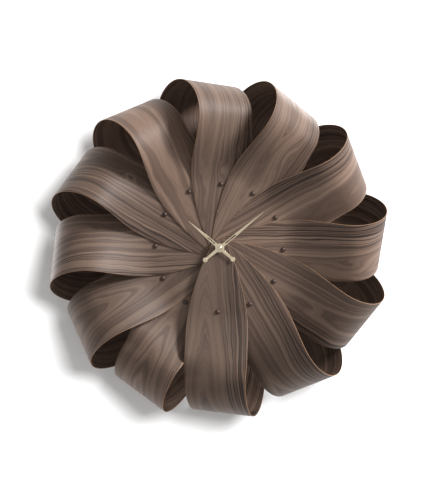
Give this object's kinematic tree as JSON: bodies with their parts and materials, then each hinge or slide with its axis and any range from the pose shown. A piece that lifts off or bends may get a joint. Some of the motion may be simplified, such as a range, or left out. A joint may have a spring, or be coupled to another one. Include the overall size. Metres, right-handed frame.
{
  "type": "wall clock",
  "caption": "Large wall clock of overlapping looped walnut veneer petals around a hub, with slotted brass hands, dome hour markers and a battery movement behind the dial.",
  "frame": {"origin": "on the hands' axis, in the plane of the wall", "axes": "+Z towards 12 o'clock, +X towards 3 o'clock, -Y out of the wall towards the viewer"},
  "size_m": [0.7342, 0.2276, 0.7326],
  "materials": {
    "walnut_veneer": "matt oiled walnut veneer",
    "ply": "sanded birch plywood",
    "felt": "black felt",
    "brass": "polished and lacquered",
    "dark_knob": "dark brown, satin",
    "steel": "zinc plated",
    "post_aluminium": "satin",
    "case_plastic": "black, fine grain",
    "gear_plastic": "natural acetal",
    "knob_plastic": "red",
    "magnet": "bonded ferrite",
    "copper": "enamelled copper wire",
    "board": "green solder mask",
    "chip": "black resin",
    "battery_jacket": "satin wrap",
    "rubber": "black"
  },
  "bodies": {
    "frame": {"petal_01": "walnut_veneer", "petal_02": "walnut_veneer", "petal_03": "walnut_veneer", "petal_04": "walnut_veneer", "petal_05": "walnut_veneer", "petal_06": "walnut_veneer", "petal_07": "walnut_veneer", "petal_08": "walnut_veneer", "petal_09": "walnut_veneer", "petal_10": "walnut_veneer", "petal_11": "walnut_veneer", "petal_12": "walnut_veneer", "front_disc": "ply", "rear_ring": "ply", "wall_pad": "felt", "spacer_posts": "post_aluminium", "post_front_screws": "steel", "post_rear_screws": "steel", "tail_washers": "steel", "tail_screws": "steel", "hanger_plate": "steel", "hanger_screws": "steel", "hour_markers": "dark_knob", "marker_spacers": "post_aluminium", "marker_nuts": "steel", "mounting_bush": "brass", "rubber_washer": "rubber", "hub_washer": "brass", "hub_nut": "brass", "movement_front_case": "case_plastic", "movement_rear_case": "case_plastic", "train_bridge": "gear_plastic", "bridge_screws": "steel", "stator": "steel", "coil_core": "steel", "coil_bobbin": "gear_plastic", "coil_winding": "copper", "circuit_board": "board", "controller_chip": "chip", "quartz_crystal": "steel", "positive_contact": "steel", "negative_contact": "steel"},
    "minute_set": {"minute_arbor": "brass", "minute_hand": "brass", "hand_cap": "brass"},
    "hour_set": {"hour_wheel": "brass", "hour_hand": "brass"},
    "motion_set": {"motion_wheel": "gear_plastic", "setting_knob": "knob_plastic"},
    "centre_set": {"centre_wheel": "gear_plastic"},
    "third_set": {"third_wheel": "gear_plastic"},
    "seconds_set": {"seconds_wheel": "gear_plastic"},
    "reducer_set": {"reducer_wheel": "gear_plastic"},
    "rotor_set": {"rotor": "magnet"},
    "battery_set": {"battery": "battery_jacket"}
  },
  "joints": [
    {"name": "minute_spin", "type": "hinge", "parent": "frame", "child": "minute_set", "pos_m": [0, -0.125, 0], "axis": [0, 1, 0], "continuous": true},
    {"name": "hour_spin", "type": "hinge", "parent": "frame", "child": "hour_set", "pos_m": [0, -0.125, 0], "axis": [0, 1, 0], "continuous": true},
    {"name": "motion_spin", "type": "hinge", "parent": "frame", "child": "motion_set", "pos_m": [0.00208, -0.125, 0.01182], "axis": [0, 1, 0], "continuous": true},
    {"name": "seconds_spin", "type": "hinge", "parent": "frame", "child": "seconds_set", "pos_m": [0, -0.125, 0], "axis": [0, 1, 0], "continuous": true},
    {"name": "third_spin", "type": "hinge", "parent": "frame", "child": "third_set", "pos_m": [-0.0108, -0.125, 0], "axis": [0, 1, 0], "continuous": true},
    {"name": "centre_spin", "type": "hinge", "parent": "frame", "child": "centre_set", "pos_m": [0, -0.125, 0], "axis": [0, 1, 0], "continuous": true},
    {"name": "reducer_spin", "type": "hinge", "parent": "frame", "child": "reducer_set", "pos_m": [0.00822, -0.125, 0.00299], "axis": [0, 1, 0], "continuous": true},
    {"name": "rotor_spin", "type": "hinge", "parent": "frame", "child": "rotor_set", "pos_m": [0.01127, -0.125, 0.00952], "axis": [0, 1, 0], "continuous": true},
    {"name": "battery_slide", "type": "slide", "parent": "frame", "child": "battery_set", "axis": [0, 1, 0], "range_m": [0, 0.05]}
  ],
  "couplings": [
    {"joint": "motion_spin", "follows": "minute_spin", "ratio": -0.33333},
    {"joint": "hour_spin", "follows": "minute_spin", "ratio": 0.083333},
    {"joint": "third_spin", "follows": "seconds_spin", "ratio": -0.125},
    {"joint": "centre_spin", "follows": "seconds_spin", "ratio": 0.016667},
    {"joint": "reducer_spin", "follows": "seconds_spin", "ratio": -6},
    {"joint": "rotor_spin", "follows": "seconds_spin", "ratio": 30}
  ]
}
